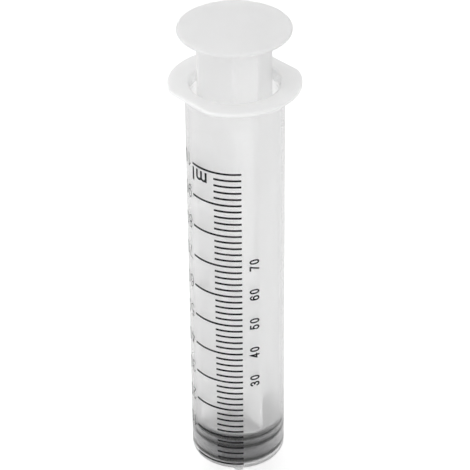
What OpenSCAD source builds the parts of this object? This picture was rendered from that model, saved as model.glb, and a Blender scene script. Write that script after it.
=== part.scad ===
// Plain three-piece hand syringe, shown upright with the plunger pressed home.
// Z runs along the axis, from the nozzle's tip at the origin up to the thumb disc.
// The flange's finger lobes lie along X and its flats face Y. Sizes are in millimetres.

/* [Capacity and scale] */
// Volume at the top line of the scale, in millilitres
capacity_ml = 100; // [60:10:140]
// Volume from one line to the next, in millilitres
line_step_ml = 2; // [1:1:5]
// Steps from one long line to the next
steps_per_long_line = 5; // [2:1:10]
// Arc length of a short line
short_line_len = 9.9; // [4:0.1:16]
// Arc length of a long line
long_line_len = 19.7; // [6:0.1:30]
// Height of a printed line
line_h = 0.75; // [0.4:0.05:1]
// Thickness of the ink
ink_t = 0.08; // [0.05:0.01:0.15]
// Angle about the axis at which every line ends, in degrees
line_end_angle = -35.7; // [-180:0.1:180]

/* [Barrel] */
// Inside diameter of the barrel
bore_d = 31.6; // [26:0.2:40]
// Thickness of the barrel's wall
barrel_wall = 1.5; // [1.2:0.1:2.5]
// Thickness of the sloping end wall, along the axis
end_wall = 1.6; // [1.2:0.1:3]
// Slope of the end wall, in degrees
end_slope = 8; // [3:1:15]
// Outer corner radius between the end wall and the barrel
shoulder_r = 2.2; // [1:0.1:2.6]
// Stroke left above the top line, up to the retaining bead
spare_len = 8.4; // [4:0.1:20]
// Height of the retaining bead inside the mouth
bead_h = 0.2; // [0.1:0.05:0.4]
// Length of the retaining bead along the axis
bead_len = 2; // [1.2:0.1:4]
// Depth of the bead's middle below the mouth
bead_depth = 6.4; // [4:0.1:12]
// Rounding of the mouth's inner edge
mouth_r = 0.8; // [0.3:0.1:1]

/* [Finger flange] */
// Reach of the finger lobes beyond the barrel's wall
lobe_reach = 5.9; // [5:0.1:15]
// Reach of the flats beyond the barrel's wall
flat_reach = 3.9; // [3:0.1:4.8]
// Thickness of the flange
flange_t = 1.4; // [1.4:0.1:3]
// Rounding of the flange's edges
flange_edge_r = 0.5; // [0.2:0.05:0.6]
// Fillet between the flange and the barrel
flange_root_r = 1.2; // [0.5:0.1:1.6]

/* [Nozzle] */
// Diameter of the channel through the nozzle
channel_d = 2; // [1:0.1:4]
// Wall of the nozzle
nozzle_wall = 1.1; // [0.8:0.1:2]
// Length of the nozzle, from its tip to the end wall
nozzle_len = 11; // [7:0.5:20]
// Rounding of the nozzle's tip
nozzle_tip_r = 0.5; // [0.2:0.05:0.7]
// Fillet between the nozzle and the end wall
nozzle_root_r = 1; // [0.4:0.1:2]

/* [Plunger rod] */
// Diameter of the thumb disc
thumb_d = 39.5; // [32:0.5:50]
// Thickness of the thumb disc
thumb_t = 1.4; // [1.4:0.1:3]
// Rounding of the thumb disc's edges
thumb_edge_r = 0.6; // [0.2:0.05:0.65]
// Gap for the fingers, from the flange to the thumb disc
grip_gap = 19.3; // [12:0.2:30]
// Thickness of each fin
fin_t = 1.4; // [1:0.1:2.5]
// Fillet where the fins meet
fin_root_r = 1.6; // [0.5:0.1:3]
// Gap between the pusher plate and the retaining bead
pusher_gap = 0.25; // [0.2:0.05:0.6]
// Inset of the fins from the rim of the pusher plate
fin_inset = 0.2; // [0.1:0.05:0.6]
// Turn of the fins about the axis, in degrees
fin_angle = -9; // [-45:0.5:45]
// Thickness of the pusher plate behind the stopper
pusher_t = 1.5; // [1.2:0.1:4]
// Diameter of the neck below the pusher plate
neck_d = 12; // [8:0.5:14]
// Reach of the snap-in head beyond the neck
head_reach = 2.5; // [1.5:0.1:3.5]
// Height of the head's straight rim
head_rim_h = 2; // [1:0.1:3]
// Height of the head's tapered nose
head_nose_h = 4; // [2:0.1:5]
// Taper of the head's nose, in degrees from the axis
head_taper = 40; // [20:1:50]

/* [Stopper] */
// Height of the bevelled front edge
nose_bevel_h = 1.1; // [0.6:0.1:2]
// Width of the bevelled front edge
nose_bevel_w = 1; // [0.5:0.1:2]
// Height of the front rib
front_rib_h = 1.8; // [1.6:0.1:4]
// Height of the groove behind the front rib
front_groove_h = 4.4; // [2.4:0.1:6]
// Height of the middle rib
middle_rib_h = 2.6; // [1.6:0.1:4]
// Height of the groove behind the middle rib
rear_groove_h = 1.6; // [1.6:0.1:4]
// Height of the rear rib
rear_rib_h = 2.2; // [1.6:0.1:4]
// Height of the bevel at the rear rib's upper edge
rear_bevel_h = 0.9; // [0.3:0.1:1.2]
// Width of the bevel at the rear rib's upper edge
rear_bevel_w = 0.3; // [0.1:0.05:1]
// Depth of the grooves
groove_depth = 0.75; // [0.4:0.05:0.8]
// Rubber between the plunger's head and the pusher plate
rear_lip_h = 2.6; // [1.5:0.1:4]
// Running clearance between the ribs and the bore
rib_gap = 0.05; // [0.02:0.01:0.1]
// Clearance around the plunger's neck and head
socket_gap = 0.08; // [0.04:0.01:0.1]
// Gap between the stopper's nose and the end wall
seat_gap = 0.2; // [0.1:0.05:0.5]

/* [Hidden] */
$fn = 96;
overlap = 0.4; // how far joined shapes run into each other

// Radii of the barrel and the nozzle
bore_r = bore_d / 2;
barrel_r = bore_r + barrel_wall;
channel_r = channel_d / 2;
nozzle_r = channel_r + nozzle_wall;

// Heights of the sloping end wall at radius r, outside and inside
function end_z(r) = nozzle_len + (r - nozzle_r) * tan(end_slope);
function floor_z(r) = end_z(r) + end_wall;

// Heights of the scale, the stopper and the barrel's mouth
zero_z = floor_z(bore_r) + seat_gap + nose_bevel_h;
mm_per_ml = 1000 / (PI * bore_r ^ 2);
scale_len = capacity_ml * mm_per_ml;
stopper_h = front_rib_h + front_groove_h + middle_rib_h + rear_groove_h + rear_rib_h;
stopper_top_z = zero_z + stopper_h;
bead_z = stopper_top_z + scale_len + spare_len;
mouth_z = bead_z + bead_depth;

// Finger flange
flange_r = barrel_r + lobe_reach;
flat_y = barrel_r + flat_reach;
flange_core_r = barrel_r + flange_root_r + overlap;

// Centre of the shoulder's arc, which touches the end wall and the barrel's side
shoulder_x = barrel_r - shoulder_r;
shoulder_z = end_z(shoulder_x) + shoulder_r / cos(end_slope);

// Centre of the fillet's arc at the nozzle's root, which touches the nozzle and the end wall
root_x = nozzle_r + nozzle_root_r;
root_z = end_z(root_x) - nozzle_root_r / cos(end_slope);

// Plunger rod, from the head up
neck_r = neck_d / 2;
head_r = neck_r + head_reach;
head_nose_r = head_r - head_nose_h * tan(head_taper);
pusher_r = bore_r - bead_h - pusher_gap;
fin_r = pusher_r - fin_inset;
pusher_z = stopper_top_z + socket_gap;
head_rim_z = stopper_top_z - rear_lip_h - socket_gap;
fins_z = pusher_z + pusher_t;
thumb_z = mouth_z + grip_gap;

// Stopper
rib_r = bore_r - rib_gap;
front_groove_z = zero_z + front_rib_h + front_groove_h / 2;
rear_groove_z = stopper_top_z - rear_rib_h - rear_groove_h / 2;

// Angle in degrees that an arc of the given length takes on the barrel
function arc_angle(len) = len / barrel_r * 180 / PI;

// Radius of an arc with the given chord and height
function arc_r(chord, height) = (chord ^ 2 / 4 + height ^ 2) / (2 * height);

// The waste at a rounded corner: it lies towards +X and +Y of the corner, at the origin
module cove(r) {
    difference() {
        square(r);
        translate([r, r]) circle(r);
    }
}

// Outline of a flat disc's rim, from radius r_in to r_out, with rounded outer edges
module rim_profile(r_in, r_out, thickness, edge_r) {
    difference() {
        translate([r_in, 0]) square([r_out - r_in, thickness]);
        translate([r_out, 0]) mirror([1, 0]) cove(edge_r);
        translate([r_out, thickness]) rotate(180) cove(edge_r);
    }
}

// Outline of the sloping end wall with its round shoulder, open above
module end_profile() {
    polygon([
        [channel_r, end_z(channel_r)],
        [shoulder_x + shoulder_r * sin(end_slope), shoulder_z - shoulder_r * cos(end_slope)],
        [barrel_r, shoulder_z],
        [barrel_r, shoulder_z + shoulder_r],
        [channel_r, shoulder_z + shoulder_r]
    ]);
    translate([shoulder_x, shoulder_z]) circle(shoulder_r);
}

// Outline of the nozzle with its round tip and root fillet
module nozzle_profile() {
    difference() {
        translate([channel_r, 0]) square([nozzle_wall, end_z(nozzle_r) + overlap]);
        translate([nozzle_r, 0]) mirror([1, 0]) cove(nozzle_tip_r);
    }
    difference() {
        polygon([
            [nozzle_r - overlap, root_z],
            [nozzle_r, root_z],
            [root_x - nozzle_root_r * sin(end_slope), root_z + nozzle_root_r * cos(end_slope)],
            [root_x - nozzle_root_r * sin(end_slope), end_z(root_x) + overlap],
            [nozzle_r - overlap, end_z(root_x) + overlap]
        ]);
        translate([root_x, root_z]) circle(nozzle_root_r);
    }
}

// Outline of the retaining bead, a low arc on the bore's wall
module bead_profile() {
    r = arc_r(bead_len, bead_h);
    intersection() {
        translate([bore_r - bead_h + r, bead_z]) circle(r);
        translate([bore_r - bead_h, bead_z - bead_len / 2])
            square([bead_h + barrel_wall / 2, bead_len]);
    }
}

// Outline of the round part of the barrel: tube, end wall, nozzle and the flange's root
module barrel_profile() {
    difference() {
        union() {
            end_profile();
            nozzle_profile();
            translate([channel_r, shoulder_z]) square([barrel_r - channel_r, mouth_z - shoulder_z]);
            translate([bore_r, mouth_z - flange_t]) square([flange_core_r - bore_r, flange_t]);
            translate([barrel_r, mouth_z - flange_t]) mirror([0, 1]) cove(flange_root_r);
        }
        polygon([
            [0, floor_z(0)],
            [bore_r, floor_z(bore_r)],
            [bore_r, mouth_z + overlap],
            [0, mouth_z + overlap]
        ]);
        translate([bore_r, mouth_z]) mirror([0, 1]) cove(mouth_r);
    }
    bead_profile();
}

// The flange's plate: a disc with rounded rim, cut by a slab that makes the two flats
module flange_plate() {
    translate([0, 0, mouth_z - flange_t])
        intersection() {
            rotate_extrude() rim_profile(barrel_r, flange_r, flange_t, flange_edge_r);
            translate([-flange_r - overlap, 0, 0])
                rotate([90, 0, 90])
                    linear_extrude(2 * (flange_r + overlap))
                        for (side = [0, 1])
                            mirror([side, 0]) rim_profile(0, flat_y, flange_t, flange_edge_r);
        }
}

module barrel() {
    color("#e6e7e8", 0.55) {
        rotate_extrude() barrel_profile();
        flange_plate();
    }
}

// Printed lines on the barrel, all ending at one angle, every fifth one long
module scale_ink() {
    steps = floor(capacity_ml / line_step_ml);
    color("#2a2a2c")
        for (i = [0 : steps]) {
            is_long = i % steps_per_long_line == 0;
            sweep = arc_angle(is_long ? long_line_len : short_line_len);
            translate([0, 0, zero_z + i * line_step_ml * mm_per_ml - line_h / 2])
                rotate(line_end_angle - sweep)
                    rotate_extrude(angle = sweep) translate([barrel_r, 0]) square([ink_t, line_h]);
        }
}

// Outline of the plunger's neck and snap-in head, grown by gap on every side
module head_profile(gap) {
    nose_z = head_rim_z - head_rim_h - head_nose_h;
    polygon([
        [0, nose_z - gap],
        [head_nose_r + gap * tan(45 - head_taper / 2), nose_z - gap],
        [head_r + gap, head_rim_z - head_rim_h - gap * tan(head_taper / 2)],
        [head_r + gap, head_rim_z + gap],
        [neck_r + gap, head_rim_z + gap],
        [neck_r + gap, pusher_z + overlap],
        [0, pusher_z + overlap]
    ]);
}

// Waste of one round groove in the stopper, centred at height z
module groove_profile(z, height) {
    r = arc_r(height, groove_depth);
    translate([rib_r - groove_depth + r, z]) circle(r);
}

module rubber_stopper() {
    color("#3b3b3d")
        rotate_extrude()
            difference() {
                polygon([
                    [0, floor_z(0) + seat_gap],
                    [rib_r - nose_bevel_w, floor_z(rib_r - nose_bevel_w) + seat_gap],
                    [rib_r, zero_z],
                    [rib_r, stopper_top_z - rear_bevel_h],
                    [rib_r - rear_bevel_w, stopper_top_z],
                    [0, stopper_top_z]
                ]);
                groove_profile(front_groove_z, front_groove_h);
                groove_profile(rear_groove_z, rear_groove_h);
                head_profile(socket_gap);
            }
}

// Cross of four fins with filleted roots and round outer edges
module fin_section() {
    intersection() {
        circle(fin_r);
        union() {
            square([2 * fin_r + overlap, fin_t], center = true);
            square([fin_t, 2 * fin_r + overlap], center = true);
            for (turn = [0 : 90 : 270])
                rotate(turn) translate([fin_t / 2, fin_t / 2]) cove(fin_root_r);
        }
    }
}

module plunger_rod() {
    color("#e9eaea", 0.8) {
        rotate_extrude() {
            head_profile(0);
            translate([0, pusher_z]) square([pusher_r, pusher_t]);
        }
        translate([0, 0, fins_z - overlap])
            rotate(fin_angle) linear_extrude(thumb_z - fins_z + 2 * overlap) fin_section();
        translate([0, 0, thumb_z]) rotate_extrude() rim_profile(0, thumb_d / 2, thumb_t, thumb_edge_r);
    }
}

barrel();
scale_ink();
rubber_stopper();
plunger_rod();
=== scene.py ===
import bpy
import numpy as np
from mathutils import Matrix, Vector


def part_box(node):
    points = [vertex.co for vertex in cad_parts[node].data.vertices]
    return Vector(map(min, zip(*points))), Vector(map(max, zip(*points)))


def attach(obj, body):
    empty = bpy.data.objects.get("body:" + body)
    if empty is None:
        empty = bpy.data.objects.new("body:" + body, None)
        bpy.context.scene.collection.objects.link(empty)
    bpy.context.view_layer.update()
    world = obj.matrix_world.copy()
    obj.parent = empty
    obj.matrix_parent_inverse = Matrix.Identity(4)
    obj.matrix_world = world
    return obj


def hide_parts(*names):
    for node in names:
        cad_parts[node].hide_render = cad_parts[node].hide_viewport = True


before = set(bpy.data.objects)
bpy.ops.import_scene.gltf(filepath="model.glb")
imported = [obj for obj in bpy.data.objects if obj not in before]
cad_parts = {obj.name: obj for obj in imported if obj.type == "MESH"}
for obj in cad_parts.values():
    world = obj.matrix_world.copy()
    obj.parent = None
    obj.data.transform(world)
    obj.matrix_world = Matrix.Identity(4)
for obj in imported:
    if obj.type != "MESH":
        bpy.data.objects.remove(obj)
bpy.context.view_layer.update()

# Sizes are in millimetres and degrees unless a line says otherwise. Z runs up the axis from the
# nozzle's tip.
mm = 0.001
scene = bpy.context.scene
scene.view_settings.view_transform = "Standard"
# Keeps the light that hazy plastic passes on after a soft bounce
scene.cycles.blur_glossy = 0.0
scene.cycles.max_bounces = scene.cycles.transmission_bounces = 32
scene.cycles.diffuse_bounces = scene.cycles.glossy_bounces = 12


def placed(name, data, axes, place):
    # an object at a place, with its own X, Y and Z along the three axes
    holder = bpy.data.objects.new(name, data)
    scene.collection.objects.link(holder)
    turn = np.eye(4)
    turn[:3, :3] = np.stack(axes, 1)
    turn[:3, 3] = place * mm
    holder.matrix_world = Matrix(turn.tolist())
    return holder


# Camera: looks down on the syringe, from the right of the side with the scale
cameraSet = {
    "azimuth": 48.0,                # turn about the axis from straight in front
    "away": 653.95,                 # level distance from the axis
    "height": 541.78,               # above the nozzle's tip
    "pitch": 33.605,                # downwards
    "yaw": -0.035,
    "roll": -0.565,
    "lens": 168.16, "sensor": 36,
    "near": 10, "far": 100000,      # nothing nearer or further is drawn
}


def makeCamera(c):
    # starts level and facing the axis, then is turned by the pitch, the yaw and the roll
    az, p, y, r = np.radians([c["azimuth"], c["pitch"], c["yaw"], c["roll"]])
    ahead = np.array([-np.sin(az), np.cos(az), 0.0])
    right = np.array([np.cos(az), np.sin(az), 0.0])
    place = -c["away"] * ahead + [0, 0, c["height"]]
    look = np.cos(p) * ahead - [0, 0, np.sin(p)]
    up = np.cross(right, look)
    look, right = np.cos(y) * look + np.sin(y) * right, np.cos(y) * right - np.sin(y) * look
    right, up = np.cos(r) * right + np.sin(r) * up, np.cos(r) * up - np.sin(r) * right
    lens = bpy.data.cameras.new("photoCamera")
    lens.sensor_fit, lens.sensor_width, lens.lens = "HORIZONTAL", c["sensor"], c["lens"]
    lens.clip_start, lens.clip_end = c["near"] * mm, c["far"] * mm
    scene.camera = placed("photoCamera", lens, (right, up, -look), place)


makeCamera(cameraSet)
print("camera placed")


# Mesh tools: every shape below is a grid of points, worked out as whole arrays
samePoint = 1e-4                                  # points nearer than this fall together
fineEase, discEase, longEase = 0.1, 0.15, 0.2     # how near a run's ends its extra points lie


def bow(cx, cz, r, start, stop, count):
    # points on a circle about (cx, cz), from the start angle to the stop angle
    a = np.radians(np.linspace(start, stop, count))
    return np.stack([cx + r * np.cos(a), cz + r * np.sin(a)], 1)


def straight(p, q, count):
    # points from p to q in equal steps
    return np.linspace(np.asarray(p, float), np.asarray(q, float), count)


def eased(p, q, ease, count=2):
    # a straight run with an extra point close to each end, so that rounded edges beside it shade
    # cleanly
    p, q = np.asarray(p, float), np.asarray(q, float)
    share = ease / np.linalg.norm(q - p)
    inner = np.linspace(share, 1 - share, count)[1:-1]
    t = np.concatenate([[0, share], inner, [1 - share, 1]])
    return p + (q - p) * t[:, None]


def joined(*runs):
    # runs of points end to end, with points that fall together dropped
    path = np.concatenate(runs)
    step = np.linalg.norm(np.diff(path, axis=0), axis=1)
    return path[np.concatenate([[True], step > samePoint])]


def fullTurn(count):
    # angles of one turn in equal steps
    return np.arange(count) * 2 * np.pi / count


def gridFaces(rows, columns, loopRows=False, loopColumns=True):
    # four-sided faces between neighbours of a rows x columns grid, closed round where asked
    i = np.arange(rows if loopRows else rows - 1)
    j = np.arange(columns if loopColumns else columns - 1)
    i, j = np.meshgrid(i, j, indexing="ij")
    k, m = (i + 1) % rows, (j + 1) % columns
    corners = [i * columns + j, i * columns + m, k * columns + m, k * columns + j]
    return np.stack(corners, -1).reshape(-1, 4)


def fanFaces(ring, pole, flip):
    # three-sided faces from a closed ring of point numbers to one pole
    nextRing = np.roll(ring, -1)
    poles = np.full_like(ring, pole)
    return np.stack([nextRing, ring, poles] if flip else [ring, nextRing, poles], 1)


def makePiece(name, points, quads, tris=None, sharp=30):
    # turns the faces outwards if the closed shape's volume comes out negative, then fills a mesh
    points = np.asarray(points, float).reshape(-1, 3)
    tris = np.zeros((0, 3), int) if tris is None else tris
    split = np.concatenate([quads[:, [0, 1, 2]], quads[:, [0, 2, 3]], tris])
    a, b, c = (points[split[:, n]] for n in range(3))
    if np.einsum("ij,ij->i", a, np.cross(b, c)).sum() < 0:
        quads, tris = quads[:, ::-1], tris[:, ::-1]
    corners = np.concatenate([quads.ravel(), tris.ravel()]).astype(np.int32)
    sizes = np.concatenate([np.full(len(quads), 4), np.full(len(tris), 3)])
    starts = np.concatenate([[0], np.cumsum(sizes)[:-1]]).astype(np.int32)
    mesh = bpy.data.meshes.new(name)
    mesh.vertices.add(len(points))
    mesh.vertices.foreach_set("co", (points * mm).astype(np.float32).ravel())
    mesh.loops.add(len(corners))
    mesh.loops.foreach_set("vertex_index", corners)
    mesh.polygons.add(len(sizes))
    mesh.polygons.foreach_set("loop_start", starts)
    mesh.update(calc_edges=True)
    mesh.validate()
    mesh.shade_smooth()
    mesh.set_sharp_from_angle(angle=np.radians(sharp))
    piece = bpy.data.objects.new(name, mesh)
    scene.collection.objects.link(piece)
    return piece


def spun(path, angles, grow=0):
    # a profile of (radius, height) carried round the axis; grow is added to the radius
    r = np.broadcast_to(path[:, :1] + grow, (len(path), len(angles)))
    z = np.broadcast_to(path[:, 1:2], r.shape)
    return np.stack([r * np.cos(angles), r * np.sin(angles), z], -1)


def cappedPiece(name, grid, firstZ, lastZ, sharp=30):
    # a stack of closed rings, with a fan of faces from its first and last rings to the axis
    rows, columns = grid.shape[:2]
    points = np.concatenate([grid.reshape(-1, 3), [[0, 0, firstZ], [0, 0, lastZ]]])
    ring = np.arange(columns)
    tris = np.concatenate([
        fanFaces(ring, rows * columns, True),
        fanFaces((rows - 1) * columns + ring, rows * columns + 1, False),
    ])
    return makePiece(name, points, gridFaces(rows, columns), tris, sharp)


# Barrel: tube, sloping end wall, nozzle and finger flange in one moulding
barrelSet = {
    "boreR": 15.8, "wall": 1.5,
    "endWall": 1.6, "endSlope": 8, "shoulderR": 2.2, "innerCornerR": 0.6,
    "channelR": 1.0, "channelLipR": 0.2, "channelBevel": 0.4,
    "nozzleR": 2.1, "nozzleLen": 11.0, "tipR": 0.5, "nozzleRootR": 1.0,
    "lobeR": 23.2, "flatY": 21.2, "flangeT": 1.4, "flangeEdgeR": 0.5, "flangeRootR": 1.2,
    "cornerSoft": 0.12,
    "leastSine": 0.3,        # bounds the flat's line towards the lobes, where the circle is nearer
    "mouthR": 0.8, "beadH": 0.2, "beadLen": 2.0, "beadDepth": 6.4,
    "around": 360,
}
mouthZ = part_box("barrel")[1].z / mm
barrelR = barrelSet["boreR"] + barrelSet["wall"]


def barrelProfile(b):
    # closed outline of (radius, height) from the tip up outside and down inside, and each point's
    # share of the flange's reach
    slope = np.radians(b["endSlope"])
    rise, sine, cosine = np.tan(slope), np.sin(slope), np.cos(slope)

    def endZ(r):
        # height of the end wall's outside
        return b["nozzleLen"] + (r - b["nozzleR"]) * rise

    def floorZ(r):
        # height of the end wall's inside
        return endZ(r) + b["endWall"]

    channel, lip, bevel = b["channelR"], b["channelLipR"], b["channelBevel"]
    nozzle, tip, root, shoulder = b["nozzleR"], b["tipR"], b["nozzleRootR"], b["shoulderR"]
    edge, lobe, under = b["flangeEdgeR"], b["lobeR"], mouthZ - b["flangeT"]
    fillet, mouth, bore, corner = b["flangeRootR"], b["mouthR"], b["boreR"], b["innerCornerR"]
    rootX = nozzle + root
    rootZ = endZ(rootX) - root / cosine
    shoulderX = barrelR - shoulder
    shoulderZ = endZ(shoulderX) + shoulder / cosine
    cornerX = bore - corner
    cornerZ = floorZ(cornerX) + corner / cosine
    beadHalf = b["beadLen"] / 2
    beadR = (beadHalf ** 2 + b["beadH"] ** 2) / (2 * b["beadH"])
    beadA = np.degrees(np.arcsin(beadHalf / beadR))
    beadX, beadZ = bore - b["beadH"] + beadR, mouthZ - b["beadDepth"]
    path = joined(
        bow(channel + lip, lip, lip, 180, 270, count=4),
        bow(nozzle - tip, tip, tip, 270, 360, count=8),
        eased([nozzle, tip], [nozzle, rootZ], fineEase),
        bow(rootX, rootZ, root, 180, 90 + b["endSlope"], count=8),
        eased([rootX - root * sine, rootZ + root * cosine],
              [shoulderX + shoulder * sine, shoulderZ - shoulder * cosine], longEase),
        bow(shoulderX, shoulderZ, shoulder, b["endSlope"] - 90, 0, count=14),
        eased([barrelR, shoulderZ], [barrelR, under - fillet], longEase, count=12),
        bow(barrelR + fillet, under - fillet, fillet, 180, 90, count=8),
        eased([barrelR + fillet, under], [lobe - edge, under], fineEase, count=5),
        bow(lobe - edge, under + edge, edge, 270, 360, count=7),
        bow(lobe - edge, mouthZ - edge, edge, 0, 90, count=7),
        eased([lobe - edge, mouthZ], [bore + mouth, mouthZ], fineEase, count=7),
        bow(bore + mouth, mouthZ - mouth, mouth, 90, 180, count=9),
        eased([bore, mouthZ - mouth], [bore, beadZ + beadHalf], fineEase),
        bow(beadX, beadZ, beadR, 180 - beadA, 180 + beadA, count=9),
        eased([bore, beadZ - beadHalf], [bore, cornerZ], longEase, count=12),
        bow(cornerX, cornerZ, corner, 0, b["endSlope"] - 90, count=6),
        eased([cornerX + corner * sine, cornerZ - corner * cosine],
              [channel + bevel, floorZ(channel + bevel)], longEase),
        straight([channel, floorZ(channel) - bevel], [channel, lip], count=2),
    )[:-1]
    reach = (path[:, 0] - barrelR - fillet) / (lobe - edge - barrelR - fillet)
    return path, np.where(path[:, 1] > under - samePoint, np.clip(reach, 0, 1), 0.0)


def makeBarrel(b):
    # radius at an angle = profile radius + share of reach x (rim at that angle - lobe radius);
    # the rim is the smaller of the lobe circle and the flat's straight line, blended softly where
    # they meet
    angles = fullTurn(b["around"])
    flat = b["flatY"] / np.maximum(np.abs(np.sin(angles)), b["leastSine"])
    soft = b["cornerSoft"]
    rim = -soft * np.logaddexp(-flat / soft, -b["lobeR"] / soft)
    path, reach = barrelProfile(b)
    grid = spun(path, angles, reach[:, None] * np.minimum(rim - b["lobeR"], 0))
    return makePiece("barrelShell", grid, gridFaces(len(path), b["around"], loopRows=True))


barrelShell = makeBarrel(barrelSet)
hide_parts("barrel")
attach(barrelShell, "barrel")
print("barrel made:", len(barrelShell.data.polygons), "faces")


# Stopper: moulded rubber with three sealing ribs, and a socket that holds the rod's head
stopperSet = {
    "ribR": 15.75, "bevelW": 1.0, "poleR": 0.5, "poleRise": 0.07,
    "frontRib": 1.8, "frontGroove": 4.4, "middleRib": 2.6, "rearGroove": 1.6, "rearRib": 2.2,
    "grooveDepth": 0.75, "ribCrown": 0.06, "ribPress": 0.1, "ribFlat": 2.4, "frontFlat": 8.0,
    "rearBevelW": 0.3, "rearEdgeR": 0.2,
    # where on its height a rib stands highest
    "frontCrest": 0.1, "middleCrest": 0.5, "rearCrest": 0.25,
    "neckR": 6.08, "headR": 8.58, "headTop": 2.52, "headRim": 2.16, "headNose": 4.03,
    "socketNoseR": 5.18,
    "around": 240, "sharp": 40,
}
stopperLow, stopperTop = (corner.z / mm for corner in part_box("rubber_stopper"))


def makeStopper(s):
    # profile from the nose up over the ribs and grooves and down into the socket; soft ribs press
    # on the bore, so their crests stand ribPress proud of the free radius and wet the wall
    rib, crown, top = s["ribR"] + s["ribPress"], s["ribCrown"] + s["ribPress"], stopperTop
    groove, edge, bevel = s["grooveDepth"], s["rearEdgeR"], s["rearBevelW"]
    zero = top - s["frontRib"] - s["frontGroove"] - s["middleRib"] - s["rearGroove"] - s["rearRib"]
    noseX = rib - s["bevelW"]
    noseZ = stopperLow + noseX * np.tan(np.radians(barrelSet["endSlope"]))

    def swell(z0, z1, depth, count, crest=0.5, flat=s["ribFlat"], lastDrop=crown):
        # heights z0 to z1; at the crest's share of the height the radius is rib - depth, and it
        # goes with a power of the distance from there to rib - crown at the lower end and to
        # rib - lastDrop at the upper one
        t = np.linspace(0, 1, count)
        off = np.where(t < crest, (crest - t) / crest, (t - crest) / (1 - crest))
        end = np.where(t < crest, crown, lastDrop)
        low = depth + (end - depth) * off ** flat
        return np.stack([rib - low, z0 + (z1 - z0) * t], 1)

    z1 = zero + s["frontRib"]
    z2 = z1 + s["frontGroove"]
    z3 = z2 + s["middleRib"]
    z4 = z3 + s["rearGroove"]
    headZ = top - s["headTop"]
    rimZ = headZ - s["headRim"]
    socketZ = rimZ - s["headNose"]
    path = joined(
        eased([s["poleR"], stopperLow + s["poleRise"]], [noseX, noseZ], longEase),
        straight([noseX, noseZ], [rib - crown, zero], count=5),
        swell(zero, z1, 0, count=19, crest=s["frontCrest"], flat=s["frontFlat"]),
        swell(z1, z2, groove, count=17),
        swell(z2, z3, 0, count=15, crest=s["middleCrest"]),
        swell(z3, z4, groove, count=13),
        swell(z4, top - edge, 0, count=19, crest=s["rearCrest"], lastDrop=bevel),
        bow(rib - bevel - edge, top - edge, edge, 0, 90, count=4),
        eased([rib - bevel - edge, top], [s["neckR"], top], longEase),
        eased([s["neckR"], top], [s["neckR"], headZ], fineEase),
        eased([s["neckR"], headZ], [s["headR"], headZ], fineEase),
        eased([s["headR"], headZ], [s["headR"], rimZ], fineEase),
        eased([s["headR"], rimZ], [s["socketNoseR"], socketZ], fineEase),
    )
    grid = spun(path, fullTurn(s["around"]))
    return cappedPiece("stopperRubber", grid, stopperLow, socketZ, s["sharp"])


stopperRubber = makeStopper(stopperSet)
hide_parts("rubber_stopper")
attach(stopperRubber, "stopper")
print("stopper made:", len(stopperRubber.data.polygons), "faces")


# Plunger rod: thumb disc, four fins, pusher plate, neck and snap-in head in one moulding
rodSet = {
    "thumbR": 19.75, "thumbT": 1.4, "thumbEdgeR": 0.6, "underInset": 2.0, "poleR": 0.5,
    "finR": 15.15, "finT": 1.4, "finEdgeR": 0.22, "finRootR": 1.6, "finFootR": 0.7,
    "finAngle": -9.0,
    "pusherR": 15.35, "pusherT": 1.5, "pusherGap": 0.08,
    "neckR": 6.0, "headR": 8.5, "headTop": 2.68, "headRim": 2.0, "headNose": 4.0,
    "headNoseR": 5.14,
    "tipPoints": 6, "sidePoints": 12, "rootPoints": 28, "footRows": 5, "finRows": 8,
}
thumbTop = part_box("plunger_rod")[1].z / mm


def finOutline(tipR, half, edgeR, rootR, counts):
    # a cross of four fins: one quarter runs from a fin's tip over its rounded edge, along its
    # side, round the root and out along the next fin; the other quarters are the same one turned
    tipX = np.sqrt((tipR - edgeR) ** 2 - (half - edgeR) ** 2)
    start = np.degrees(np.arctan2(half - edgeR, tipX))
    edge = bow(tipX, half - edgeR, edgeR, start, 90, counts[0])
    out = np.geomspace(tipX, half + rootR, counts[1] + 2)[1:-1]
    side = np.stack([out, np.full_like(out, half)], 1)
    root = bow(half + rootR, half + rootR, rootR, 270, 180, counts[2])
    quarter = np.concatenate(
        [[[tipR, 0]], edge, side, root, side[::-1, ::-1], edge[::-1, ::-1]])
    turns = [quarter, quarter[:, ::-1] * [-1, 1], -quarter, quarter[:, ::-1] * [1, -1]]
    return np.concatenate(turns)


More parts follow.
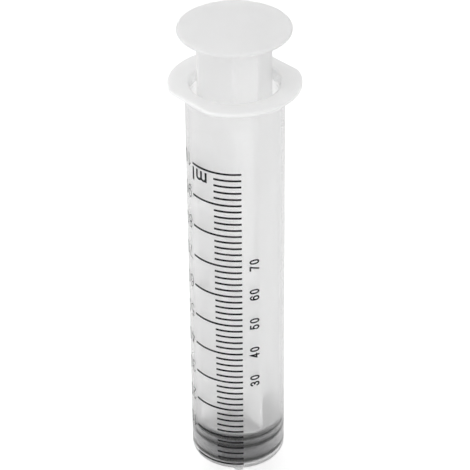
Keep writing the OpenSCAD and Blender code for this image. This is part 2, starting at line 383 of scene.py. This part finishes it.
def makeRod(r):
    # rings of equally many points, stacked from the thumb disc down to the head; a round ring
    # takes the polar angles of the fins' outline, so that the rings join up with no twist
    counts = (r["tipPoints"], r["sidePoints"], r["rootPoints"])
    half, foot = r["finT"] / 2, r["finFootR"]
    cross = finOutline(r["finR"], half, r["finEdgeR"], r["finRootR"], counts)
    polar = np.arctan2(cross[:, 1], cross[:, 0])
    circle = np.stack([np.cos(polar), np.sin(polar)], 1)
    thumbZ, edge, rim = thumbTop - r["thumbT"], r["thumbEdgeR"], r["thumbR"] - r["thumbEdgeR"]
    pusherZ = stopperTop + r["pusherGap"]
    finsZ = pusherZ + r["pusherT"]
    headZ = stopperTop - r["headTop"]
    rimZ = headZ - r["headRim"]
    noseZ = rimZ - r["headNose"]
    disc = joined(
        eased([r["poleR"], thumbTop], [rim, thumbTop], discEase, count=4),
        bow(rim, thumbTop - edge, edge, 90, 0, count=8),
        bow(rim, thumbZ + edge, edge, 0, -90, count=8),
        eased([rim, thumbZ], [r["finR"] + r["underInset"], thumbZ], discEase),
    )
    # a fin's sides swell towards its two ends in a quarter circle
    sweep = np.linspace(0, np.pi / 2, r["footRows"])
    flare, climb = foot * (1 - np.sin(sweep)), foot * (1 - np.cos(sweep))
    grown = [finOutline(r["finR"], half + f, r["finEdgeR"], r["finRootR"], counts) for f in flare]
    between = np.linspace(thumbZ - foot, finsZ + foot, r["finRows"] + 2)[1:-1]
    finZ = np.concatenate([thumbZ - climb, between, (finsZ + climb)[::-1]])
    finXy = np.stack(grown + [cross] * r["finRows"] + grown[::-1])
    base = joined(
        eased([r["pusherR"], finsZ], [r["pusherR"], pusherZ], fineEase),
        eased([r["pusherR"], pusherZ], [r["neckR"], pusherZ], fineEase),
        eased([r["neckR"], pusherZ], [r["neckR"], headZ], fineEase),
        eased([r["neckR"], headZ], [r["headR"], headZ], fineEase),
        eased([r["headR"], headZ], [r["headR"], rimZ], fineEase),
        eased([r["headR"], rimZ], [r["headNoseR"], noseZ], fineEase),
        eased([r["headNoseR"], noseZ], [r["poleR"], noseZ], fineEase),
    )
    ringXy = np.concatenate([disc[:, :1, None] * circle, finXy, base[:, :1, None] * circle])
    ringZ = np.concatenate([disc[:, 1], finZ, base[:, 1]])
    turn = np.radians(r["finAngle"])
    x = ringXy[..., 0] * np.cos(turn) - ringXy[..., 1] * np.sin(turn)
    y = ringXy[..., 0] * np.sin(turn) + ringXy[..., 1] * np.cos(turn)
    grid = np.stack([x, y, np.broadcast_to(ringZ[:, None], x.shape)], -1)
    return cappedPiece("plungerRod", grid, thumbTop, noseZ)


plungerRod = makeRod(rodSet)
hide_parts("plunger_rod")
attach(plungerRod, "plunger")
print("rod made:", len(plungerRod.data.polygons), "faces")


# Print: lines and numbers as thin ribbons of ink, laid on the barrel
printSet = {
    "zeroZ": 15.825, "pitch": 2.5502, "lines": 51, "longEvery": 5, "mlPerLine": 2,
    "endAngle": -35.7, "shortLen": 9.9, "longLen": 19.7, "lineH": 0.75, "step": 0.5,
    "inkT": 0.08, "numberInkT": 0.02, "sink": 0.01,
    "digitH": 5.3, "digitW": 2.5, "digitGap": 0.8, "digitStroke": 0.36, "numberAngle": -105.4,
    "unitH": 4.0, "unitTallH": 5.25, "unitW": 5.0, "unitStep": 6.3, "unitStroke": 0.8,
    "unitAngle": -77.4, "unitDrop": 1.25,
    "flatNumbers": (30, 40, 50, 60, 70), "flatH": 3.7, "flatW": 2.1, "flatGap": 0.7,
    "flatStroke": 0.62, "flatAngle": -14.6,
}


def turnArc(cx, cy, rx, ry, start, stop, count=22):
    # part of an ellipse about (cx, cy)
    a = np.radians(np.linspace(start, stop, count))
    return np.stack([cx + rx * np.cos(a), cy + ry * np.sin(a)], 1)


def rounded(cx, cy, rx, ry, count=40, power=2.3):
    # a closed loop between an ellipse and a box: x and y are the cosine and sine, each to the
    # power 2 / power
    a = fullTurn(count)
    c, s = np.cos(a), np.sin(a)
    x = cx + rx * np.sign(c) * np.abs(c) ** (2 / power)
    y = cy + ry * np.sign(s) * np.abs(s) ** (2 / power)
    return np.stack([x, y], 1)


def legs(*corners):
    # straight strokes through the corners, with points along each
    return joined(*[straight(p, q, count=9) for p, q in zip(corners[:-1], corners[1:])])


# Middle lines of each sign's strokes in a box of 1 x 1, and whether the stroke is a closed loop
signStrokes = {
    "0": [(rounded(0.5, 0.5, 0.5, 0.5), True)],
    "1": [(legs((0.12, 0.74), (0.62, 1.0), (0.62, 0.0)), False)],
    "2": [(joined(turnArc(0.5, 0.69, 0.48, 0.31, 172, -28),
                  legs((0.92, 0.54), (0.02, 0.0), (1.0, 0.0))), False)],
    "3": [(turnArc(0.47, 0.765, 0.43, 0.235, 165, -90), False),
          (turnArc(0.47, 0.265, 0.5, 0.265, 90, -165), False)],
    "4": [(legs((0.74, 0.0), (0.74, 1.0), (0.0, 0.27), (1.02, 0.27)), False)],
    "5": [(joined(legs((0.92, 1.0), (0.17, 1.0), (0.06, 0.5)),
                  turnArc(0.46, 0.33, 0.5, 0.33, 138, -160)), False)],
    "6": [(rounded(0.5, 0.315, 0.5, 0.315), True),
          (joined(turnArc(0.56, 0.52, 0.56, 0.48, 42, 180),
                  legs((0.0, 0.52), (0.0, 0.32))), False)],
    "7": [(legs((0.0, 1.0), (1.0, 1.0), (0.34, 0.0)), False)],
    "8": [(rounded(0.5, 0.765, 0.43, 0.235), True), (rounded(0.5, 0.265, 0.5, 0.265), True)],
    "m": [(legs((0.0, 0.0), (0.0, 1.0)), False),
          (joined(turnArc(0.25, 0.7, 0.25, 0.3, 160, 0), legs((0.5, 0.7), (0.5, 0.0))), False),
          (joined(turnArc(0.75, 0.7, 0.25, 0.3, 160, 0), legs((1.0, 0.7), (1.0, 0.0))), False)],
    "l": [(legs((0.0, 0.0), (0.0, 1.0)), False)],
}
signStrokes["9"] = [(1 - path, closed) for path, closed in signStrokes["6"]]


def ribbon(path, width, closed, leastLean=0.4):
    # a stroke of even width: each point goes to both sides along the middle of its two
    # neighbours' normals, further out at a corner so that the width stays even, within a bound;
    # rows of four points hold the ink's cross-section
    ahead = np.roll(path, -1, 0) - path
    if not closed:
        ahead[-1] = ahead[-2]
    ahead /= np.linalg.norm(ahead, axis=1)[:, None]
    behind = np.roll(ahead, 1, 0)
    if not closed:
        behind[0] = ahead[0]
    middle = ahead + behind
    middle /= np.linalg.norm(middle, axis=1)[:, None]
    side = np.stack([-middle[:, 1], middle[:, 0]], 1)
    lean = np.maximum(np.abs((middle * ahead).sum(1)), leastLean)
    out = side * (width / 2 / lean)[:, None]
    return np.stack([path + out, path - out, path - out, path + out], 1)


def inkPiece(name, strokes, p, thickness):
    # wraps ribbons of (arc length, height) round the barrel: angle = arc length / radius, and the
    # four rails of a ribbon lie at the ink's top, top, foot and foot
    radii = barrelR + np.array([thickness, thickness, -p["sink"], -p["sink"]])
    ends = np.array([[3, 2, 1, 0], [-4, -3, -2, -1]])       # the first and the last four points
    points, quads, count = [], [], 0
    for path, width, closed in strokes:
        rails = ribbon(path, width, closed)
        angle = rails[..., 0] / barrelR
        wrapped = np.stack([radii * np.cos(angle), radii * np.sin(angle), rails[..., 1]], -1)
        points.append(wrapped.reshape(-1, 3))
        quads.append(gridFaces(len(path), len(radii), loopRows=closed) + count)
        used = len(path) * len(radii)
        if not closed:
            quads.append(ends + [[0], [used]] + count)
        count += used
    piece = makePiece(name, np.concatenate(points), np.concatenate(quads))
    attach(piece, "barrel")
    return piece


def arcAt(angle):
    # arc length on the barrel at an angle about the axis
    return np.radians(angle) * barrelR


def squareEnds(path, extra):
    # an open stroke with its first and last points carried on in line by the extra length
    ends = path[[0, -1]] - path[[1, -2]]
    ends *= extra / np.linalg.norm(ends, axis=1)[:, None]
    return np.concatenate([path[:1] + ends[:1], path[1:-1], path[-1:] + ends[1:]])


def writeSigns(text, width, height, gap, stroke, place):
    # strokes of a row of signs; place turns (along the row, up) into (arc length, height on the
    # barrel)
    inset = stroke / 2
    strokes = []
    for n, sign in enumerate(text):
        for path, closed in signStrokes[sign]:
            local = path * [width - stroke, height - stroke] + [inset + n * (width + gap), inset]
            strokes.append((place(local if closed else squareEnds(local, inset)), stroke, closed))
    return strokes


def makePrint(p):
    # the scale's lines, its numbers, the unit sign and the numbers beside the scale, each of them
    # one piece of ink
    end = arcAt(p["endAngle"])
    lines = []
    for n in range(p["lines"]):
        z = p["zeroZ"] + n * p["pitch"]
        length = p["longLen"] if n % p["longEvery"] == 0 else p["shortLen"]
        path = straight([end - length, z], [end, z], int(length / p["step"]) + 2)
        lines.append((path, p["lineH"], False))
    scaleLines = inkPiece("scaleLines", lines, p, p["inkT"])
    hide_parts("scale_ink")

    # The scale's numbers read with the nozzle held up
    numbers = []
    start = arcAt(p["numberAngle"])
    for n in range(p["longEvery"], p["lines"], p["longEvery"]):
        corner = np.array([start, p["zeroZ"] + n * p["pitch"] + p["digitH"] / 2])
        numbers += writeSigns(
            str(p["mlPerLine"] * n), p["digitW"], p["digitH"], p["digitGap"], p["digitStroke"],
            lambda q: corner - q)
    scaleNumbers = inkPiece("scaleNumbers", numbers, p, p["numberInkT"])

    # The unit sign hangs under the top line, the same way up as the scale's numbers
    topLine = p["zeroZ"] + (p["lines"] - 1) * p["pitch"]
    hook = np.array([arcAt(p["unitAngle"]), topLine - p["unitDrop"]])
    stroke = p["unitStroke"]
    unit = writeSigns("m", p["unitW"], p["unitH"], 0, stroke, lambda q: hook - q)
    unit += writeSigns(
        "l", stroke, p["unitTallH"], 0, stroke, lambda q: hook - (q + [p["unitStep"], 0]))
    unitMark = inkPiece("unitMark", unit, p, p["inkT"])

    # The numbers beside the scale read with the barrel held level
    side = []
    base = arcAt(p["flatAngle"])
    half = p["flatW"] + p["flatGap"] / 2
    for value in p["flatNumbers"]:
        low = p["zeroZ"] + value / p["mlPerLine"] * p["pitch"] - half
        side += writeSigns(
            str(value), p["flatW"], p["flatH"], p["flatGap"], p["flatStroke"],
            lambda q: np.stack([base - q[:, 1], low + q[:, 0]], 1))
    flatNumbers = inkPiece("flatNumbers", side, p, p["numberInkT"])
    return [scaleLines, scaleNumbers, unitMark, flatNumbers]


printPieces = makePrint(printSet)
print("print made:", sum(len(piece.data.polygons) for piece in printPieces), "faces")


# Materials
noiseLow, noiseHigh = 0.3, 0.7      # most values of a noise texture lie between these


def tone(text):
    # sRGB hex to linear
    c = np.array([int(text[n:n + 2], 16) for n in (1, 3, 5)]) / 255
    linear = np.where(c <= 0.04045, c / 12.92, ((c + 0.055) / 1.055) ** 2.4)
    return (*linear.tolist(), 1.0)


def addNode(tree, kind, links=None, **settings):
    # a node with its settings; each link is a value for an input, or another node's output. Mix
    # has its colour sockets under the same names as its number sockets, so below they are set by
    # place: 6 is A, 7 is B, and 2 is the colour that comes out
    made = tree.nodes.new(kind)
    for key, value in settings.items():
        setattr(made, key, value)
    for key, value in (links or {}).items():
        if isinstance(value, bpy.types.NodeSocket):
            tree.links.new(value, made.inputs[key])
        else:
            made.inputs[key].default_value = value
    return made


def newMaterial(name):
    # an empty material and its tree
    material = bpy.data.materials.new(name)
    material.use_nodes = True
    material.node_tree.nodes.clear()
    return material, material.node_tree


def finishMaterial(tree, shader, inside=None):
    # ties a shader to the surface, and another to the inside if there is one
    links = {"Surface": shader.outputs[0]}
    if inside:
        links["Volume"] = inside.outputs[0]
    addNode(tree, "ShaderNodeOutputMaterial", links)


barrelLook = {
    "tube": "#fefefe", "tubeStreak": "#fbfbfb", "streakMm": 6, "streakSquash": 0.12,
    # the flange's tone is painted shade: a greyer copy of the tube's resin
    "flange": "#e5e5e5", "ior": 1.49, "spread": 4.0,
    "clearShare": 0.35, "shareEdge": 0.05, "clearSpot": 0.06, "hazySpot": 0.5,
    "clearTube": 1.0, "clearFlange": 0.0, "flangeFrom": 0.1, "flangeTo": 1.2,
    "clearMouth": 0.0, "mouthFade": 5.5, "lipFade": 1.5, "clearNozzle": 0.25, "nozzleFade": 2.0,
    "waveMm": 14, "waveDepth": 0.015,
    "dim": "#f2f2f2", "dimPerMm": 0.1,
}


def naturalPolypropylene(look):
    # Natural polypropylene, moulded clear against a polished core: the resin is hazy, so what
    # touches the wall shows sharp and what lies further back melts into an even milky grey.
    material, tree = newMaterial("naturalPolypropylene")
    place = addNode(tree, "ShaderNodeTexCoord").outputs["Object"]
    flow = addNode(tree, "ShaderNodeMapping", {
        "Vector": place, "Scale": (1, 1, look["streakSquash"])}).outputs[0]
    streak = addNode(tree, "ShaderNodeTexNoise", {
        "Vector": flow, "Scale": 1 / (look["streakMm"] * mm), "Detail": 2.0})
    tint = addNode(tree, "ShaderNodeMix", {
        "Factor": streak.outputs[0], 6: tone(look["tube"]), 7: tone(look["tubeStreak"])},
        data_type="RGBA")
    # Crystals in the resin, too fine to see one by one: between them the wall is nearly clear, on
    # them it scatters, so an edge behind the wall shows sharp but faint in a broad soft haze
    crystal = addNode(tree, "ShaderNodeTexWhiteNoise", {"Vector": place})
    haze = addNode(tree, "ShaderNodeMapRange", {
        "Value": crystal.outputs["Value"],
        "From Min": look["clearShare"] - look["shareEdge"],
        "From Max": look["clearShare"] + look["shareEdge"],
        "To Min": look["clearSpot"], "To Max": look["hazySpot"]})
    # The flange, the mouth and the nozzle cool last in the mould and come out milkier, so they
    # let less through
    across = addNode(tree, "ShaderNodeVectorMath", {
        0: place, 1: (1, 1, 0)}, operation="MULTIPLY").outputs[0]
    fromAxis = addNode(tree, "ShaderNodeVectorMath", {
        0: across}, operation="LENGTH").outputs["Value"]
    clear = addNode(tree, "ShaderNodeMapRange", {
        "Value": fromAxis,
        "From Min": (barrelR + look["flangeFrom"]) * mm,
        "From Max": (barrelR + look["flangeTo"]) * mm,
        "To Min": look["clearTube"], "To Max": look["clearFlange"]})
    height = addNode(tree, "ShaderNodeSeparateXYZ", {"Vector": place}).outputs["Z"]
    mouth = addNode(tree, "ShaderNodeMapRange", {
        "Value": height, "From Min": (mouthZ - look["mouthFade"]) * mm, "From Max": mouthZ * mm,
        "To Min": 1.0, "To Max": look["clearMouth"]})
    nozzleTop = barrelSet["nozzleLen"]
    nozzle = addNode(tree, "ShaderNodeMapRange", {
        "Value": height,
        "From Min": (nozzleTop - look["nozzleFade"]) * mm, "From Max": nozzleTop * mm,
        "To Min": look["clearNozzle"], "To Max": 1.0})
    ends = addNode(tree, "ShaderNodeMath", {
        0: mouth.outputs[0], 1: nozzle.outputs[0]}, operation="MINIMUM")
    through = addNode(tree, "ShaderNodeMath", {
        0: clear.outputs[0], 1: ends.outputs[0]}, operation="MINIMUM")
    # The flange and the top of the mouth's lip take a greyer tone than the tube: painted shade,
    # the same resin drawn darker there to offset the stronger light that falls on the flange.
    lip = addNode(tree, "ShaderNodeMapRange", {
        "Value": height, "From Min": (mouthZ - look["lipFade"]) * mm, "From Max": mouthZ * mm,
        "To Min": 1.0, "To Max": 0.0})
    thin = addNode(tree, "ShaderNodeMath", {
        0: clear.outputs[0], 1: lip.outputs[0]}, operation="MINIMUM")
    colour = addNode(tree, "ShaderNodeMix", {
        "Factor": thin.outputs[0], 6: tone(look["flange"]), 7: tint.outputs[2]},
        data_type="RGBA")
    # Uneven cooling leaves the wall a little wavy, which the gloss shows
    wave = addNode(tree, "ShaderNodeTexNoise", {
        "Vector": place, "Scale": 1 / (look["waveMm"] * mm), "Detail": 1.0})
    ripple = addNode(tree, "ShaderNodeBump", {
        "Height": wave.outputs[0], "Distance": look["waveDepth"] * mm})
    shader = addNode(tree, "ShaderNodeBsdfPrincipled", {
        "Base Color": colour.outputs[2], "Roughness": haze.outputs[0], "IOR": look["ior"],
        "Transmission Weight": through.outputs[0], "Normal": ripple.outputs[0],
        "Subsurface Weight": 1.0, "Subsurface Radius": (1, 1, 1),
        "Subsurface Scale": look["spread"] * mm})
    # The resin takes a little light for each millimetre, which greys the long way through the
    # wall at the sides
    resin = addNode(tree, "ShaderNodeVolumeAbsorption", {
        "Color": tone(look["dim"]), "Density": look["dimPerMm"] / mm})
    finishMaterial(tree, shader, resin)
    return material


rodLook = {
    "milky": "#f7f7f7", "milkyDeep": "#f4f4f4", "cloudMm": 9,
    "ior": 1.49, "clear": 0.24, "spread": 9.0,
    "grainMm": 0.4, "grainDepth": 0.05, "grainShow": 0.1, "smooth": 0.52, "dull": 0.68,
}


def mouldedPolypropylene(look):
    # The same resin moulded thicker against a satin tool: whiter, with the light spread inside it.
    material, tree = newMaterial("mouldedPolypropylene")
    place = addNode(tree, "ShaderNodeTexCoord").outputs["Object"]
    cloud = addNode(tree, "ShaderNodeTexNoise", {
        "Vector": place, "Scale": 1 / (look["cloudMm"] * mm), "Detail": 2.0})
    colour = addNode(tree, "ShaderNodeMix", {
        "Factor": cloud.outputs[0], 6: tone(look["milky"]), 7: tone(look["milkyDeep"])},
        data_type="RGBA")
    # The blasted tool leaves a fine grain, drawn coarser than the real one so that it shows
    grain = addNode(tree, "ShaderNodeTexNoise", {
        "Vector": place, "Scale": 1 / (look["grainMm"] * mm), "Detail": 2.0})
    satin = addNode(tree, "ShaderNodeMapRange", {
        "Value": grain.outputs[0], "From Min": noiseLow, "From Max": noiseHigh,
        "To Min": look["smooth"], "To Max": look["dull"]})
    bump = addNode(tree, "ShaderNodeBump", {
        "Height": grain.outputs[0], "Strength": look["grainShow"],
        "Distance": look["grainDepth"] * mm})
    shader = addNode(tree, "ShaderNodeBsdfPrincipled", {
        "Base Color": colour.outputs[2], "Roughness": satin.outputs[0], "IOR": look["ior"],
        "Transmission Weight": look["clear"],
        "Subsurface Weight": 1.0, "Subsurface Radius": (1, 1, 1),
        "Subsurface Scale": look["spread"] * mm, "Normal": bump.outputs[0]})
    finishMaterial(tree, shader)
    return material


rubberLook = {
    "dark": "#1c1c1d", "worn": "#242425", "cloudMm": 3,
    "bloom": "#606062", "bloomDepth": 0.5, "bloomEdge": 0.15, "oiled": 0.45, "powdery": 0.8,
    "grainMm": 0.25, "grainDepth": 0.05, "grainShow": 0.15, "ior": 1.52, "shine": 0.1,
}


def mouldedRubber(look):
    # Dark grey synthetic rubber from a satin mould, wiped with silicone oil: near black with a
    # soft dull shine.
    material, tree = newMaterial("mouldedRubber")
    place = addNode(tree, "ShaderNodeTexCoord").outputs["Object"]
    cloud = addNode(tree, "ShaderNodeTexNoise", {
        "Vector": place, "Scale": 1 / (look["cloudMm"] * mm), "Detail": 3.0})
    colour = addNode(tree, "ShaderNodeMix", {
        "Factor": cloud.outputs[0], 6: tone(look["dark"]), 7: tone(look["worn"])},
        data_type="RGBA")
    # Powdered dry in the grooves, where nothing rubs it off
    across = addNode(tree, "ShaderNodeVectorMath", {
        0: place, 1: (1, 1, 0)}, operation="MULTIPLY").outputs[0]
    fromAxis = addNode(tree, "ShaderNodeVectorMath", {
        0: across}, operation="LENGTH").outputs["Value"]
    ribR = stopperSet["ribR"]
    powder = addNode(tree, "ShaderNodeMapRange", {
        "Value": fromAxis,
        "From Min": (ribR - look["bloomDepth"]) * mm, "From Max": (ribR - look["bloomEdge"]) * mm,
        "To Min": 1.0, "To Max": 0.0})
    powdered = addNode(tree, "ShaderNodeMix", {
        "Factor": powder.outputs[0], 6: colour.outputs[2], 7: tone(look["bloom"])},
        data_type="RGBA")
    satin = addNode(tree, "ShaderNodeMapRange", {
        "Value": powder.outputs[0], "To Min": look["oiled"], "To Max": look["powdery"]})
    grain = addNode(tree, "ShaderNodeTexNoise", {
        "Vector": place, "Scale": 1 / (look["grainMm"] * mm), "Detail": 2.0})
    bump = addNode(tree, "ShaderNodeBump", {
        "Height": grain.outputs[0], "Strength": look["grainShow"],
        "Distance": look["grainDepth"] * mm})
    shader = addNode(tree, "ShaderNodeBsdfPrincipled", {
        "Base Color": powdered.outputs[2], "Roughness": satin.outputs[0], "IOR": look["ior"],
        "Specular IOR Level": look["shine"], "Normal": bump.outputs[0]})
    finishMaterial(tree, shader)
    return material


inkLook = {
    "dense": "#101011", "thin": "#1a1a1c", "mottleMm": 0.5, "meshDepth": 0.01,
    "smooth": 0.5, "dull": 0.7, "ior": 1.5, "shine": 0.2,
}


def screenInk(look):
    # Black screen-printing ink, cured matt: dense, with a slight mottle where the mesh left less.
    material, tree = newMaterial("screenInk")
    place = addNode(tree, "ShaderNodeTexCoord").outputs["Object"]
    mottle = addNode(tree, "ShaderNodeTexNoise", {
        "Vector": place, "Scale": 1 / (look["mottleMm"] * mm), "Detail": 2.0})
    colour = addNode(tree, "ShaderNodeMix", {
        "Factor": mottle.outputs[0], 6: tone(look["dense"]), 7: tone(look["thin"])},
        data_type="RGBA")
    satin = addNode(tree, "ShaderNodeMapRange", {
        "Value": mottle.outputs[0], "From Min": noiseLow, "From Max": noiseHigh,
        "To Min": look["smooth"], "To Max": look["dull"]})
    bump = addNode(tree, "ShaderNodeBump", {
        "Height": mottle.outputs[0], "Distance": look["meshDepth"] * mm})
    shader = addNode(tree, "ShaderNodeBsdfPrincipled", {
        "Base Color": colour.outputs[2], "Roughness": satin.outputs[0], "IOR": look["ior"],
        "Specular IOR Level": look["shine"], "Normal": bump.outputs[0]})
    finishMaterial(tree, shader)
    return material


barrelShell.data.materials.append(naturalPolypropylene(barrelLook))
plungerRod.data.materials.append(mouldedPolypropylene(rodLook))
stopperRubber.data.materials.append(mouldedRubber(rubberLook))
ink = screenInk(inkLook)
for piece in printPieces:
    piece.data.materials.append(ink)
print("materials made")


# Studio: white paper on the floor, an even white tent, a soft lamp on the left, and a small one
# low in front that shows only in gloss
studioSet = {
    "tent": "#ffffff", "tentTop": 0.765, "tentSide": 1.045, "tentThrough": 0.935,
    "paper": "#f2f2f2", "paperSide": 3000, "paperPoints": 3, "floorZ": -0.02,
    "lift": 0.36, "liftThrough": 0.19, "liftAround": 0.3,
    "aimZ": 90,
    "lamps": [
        {"name": "keyLamp", "azimuth": -8, "height": 640, "away": 1200, "wide": 700, "tall": 700,
         "watts": 3.4, "shape": "ELLIPSE", "gleamOnly": False},
        {"name": "gleamLamp", "azimuth": 65.5, "height": 62, "away": 117, "wide": 97, "tall": 68,
         "watts": 0.048, "shape": "RECTANGLE", "gleamOnly": True},
    ],
}


def paperMaterial(look):
    # Matt white paper: lifted to white where it is seen, and to a shade less straight through
    # plastic, so that the empty barrel still shows against it; it keeps the object's shadow
    material, tree = newMaterial("whitePaper")
    rays = addNode(tree, "ShaderNodeLightPath").outputs
    mirrored = addNode(tree, "ShaderNodeMath", {
        0: rays["Is Glossy Ray"], 1: rays["Is Transmission Ray"]}, operation="MAXIMUM")
    # Diffuse Depth is 0 on the straight way through, and more for light on its way to what stands
    # inside the barrel
    inner = addNode(tree, "ShaderNodeMapRange", {
        "Value": rays["Diffuse Depth"],
        "To Min": look["liftThrough"], "To Max": look["liftAround"]})
    around = addNode(tree, "ShaderNodeMapRange", {
        "Value": rays["Is Transmission Ray"],
        "To Min": look["liftAround"], "To Max": inner.outputs[0]})
    through = addNode(tree, "ShaderNodeMath", {
        0: mirrored.outputs[0], 1: around.outputs[0]}, operation="MULTIPLY")
    lift = addNode(tree, "ShaderNodeMath", {
        0: rays["Is Camera Ray"], 1: look["lift"], 2: through.outputs[0]},
        operation="MULTIPLY_ADD")
    paper = addNode(tree, "ShaderNodeBsdfDiffuse", {"Color": tone(look["paper"])})
    glow = addNode(tree, "ShaderNodeEmission", {"Strength": lift.outputs[0]})
    both = addNode(tree, "ShaderNodeAddShader", {0: paper.outputs[0], 1: glow.outputs[0]})
    finishMaterial(tree, both)
    return material


def makeFloor(s):
    # a flat square of paper, just under the nozzle's tip
    side, count = s["paperSide"], s["paperPoints"]
    x = np.linspace(-side, side, count)
    x, y = np.meshgrid(x, x, indexing="ij")
    points = np.stack([x, y, np.full_like(x, s["floorZ"])], -1)
    floor = makePiece("paperFloor", points, gridFaces(count, count, loopColumns=False)[:, ::-1])
    floor.data.materials.append(paperMaterial(s))


def makeTent(s):
    # white where it is seen or mirrored, a shade less straight through plastic; its light on
    # things goes from tentSide at their level to tentTop overhead
    world = bpy.data.worlds.new("whiteTent")
    world.use_nodes = True
    tree = world.node_tree
    tree.nodes.clear()
    rays = addNode(tree, "ShaderNodeLightPath").outputs
    seen = addNode(tree, "ShaderNodeMath", {
        0: rays["Is Camera Ray"], 1: rays["Is Glossy Ray"]}, operation="MAXIMUM")
    towards = addNode(tree, "ShaderNodeTexCoord").outputs["Generated"]
    climb = addNode(tree, "ShaderNodeSeparateXYZ", {"Vector": towards}).outputs["Z"]
    tent = addNode(tree, "ShaderNodeMapRange", {
        "Value": climb, "To Min": s["tentSide"], "To Max": s["tentTop"]})
    level = addNode(tree, "ShaderNodeMapRange", {
        "Value": seen.outputs[0], "To Min": tent.outputs[0], "To Max": 1.0})
    inner = addNode(tree, "ShaderNodeMapRange", {
        "Value": rays["Diffuse Depth"], "To Min": s["tentThrough"], "To Max": 1.0})
    passed = addNode(tree, "ShaderNodeMapRange", {
        "Value": rays["Is Transmission Ray"],
        "To Min": level.outputs[0], "To Max": inner.outputs[0]})
    glow = addNode(tree, "ShaderNodeBackground", {
        "Color": tone(s["tent"]), "Strength": passed.outputs[0]})
    addNode(tree, "ShaderNodeOutputWorld", {"Surface": glow.outputs[0]})
    scene.world = world


def makeLamp(lamp, aimZ):
    # a flat lamp that faces the axis at the aimed height; azimuth 0 is straight in front
    light = bpy.data.lights.new(lamp["name"], "AREA")
    light.shape, light.energy = lamp["shape"], lamp["watts"]
    light.size, light.size_y = lamp["wide"] * mm, lamp["tall"] * mm
    a = np.radians(lamp["azimuth"] - 90)
    place = np.array([lamp["away"] * np.cos(a), lamp["away"] * np.sin(a), lamp["height"]])
    back = place - [0, 0, aimZ]
    back /= np.linalg.norm(back)
    right = np.cross([0, 0, 1], back)
    right /= np.linalg.norm(right)
    holder = placed(lamp["name"], light, (right, np.cross(back, right), back), place)
    if lamp["gleamOnly"]:
        holder.visible_camera = holder.visible_diffuse = holder.visible_transmission = False


makeFloor(studioSet)
makeTent(studioSet)
for lamp in studioSet["lamps"]:
    makeLamp(lamp, studioSet["aimZ"])
print("studio lit")
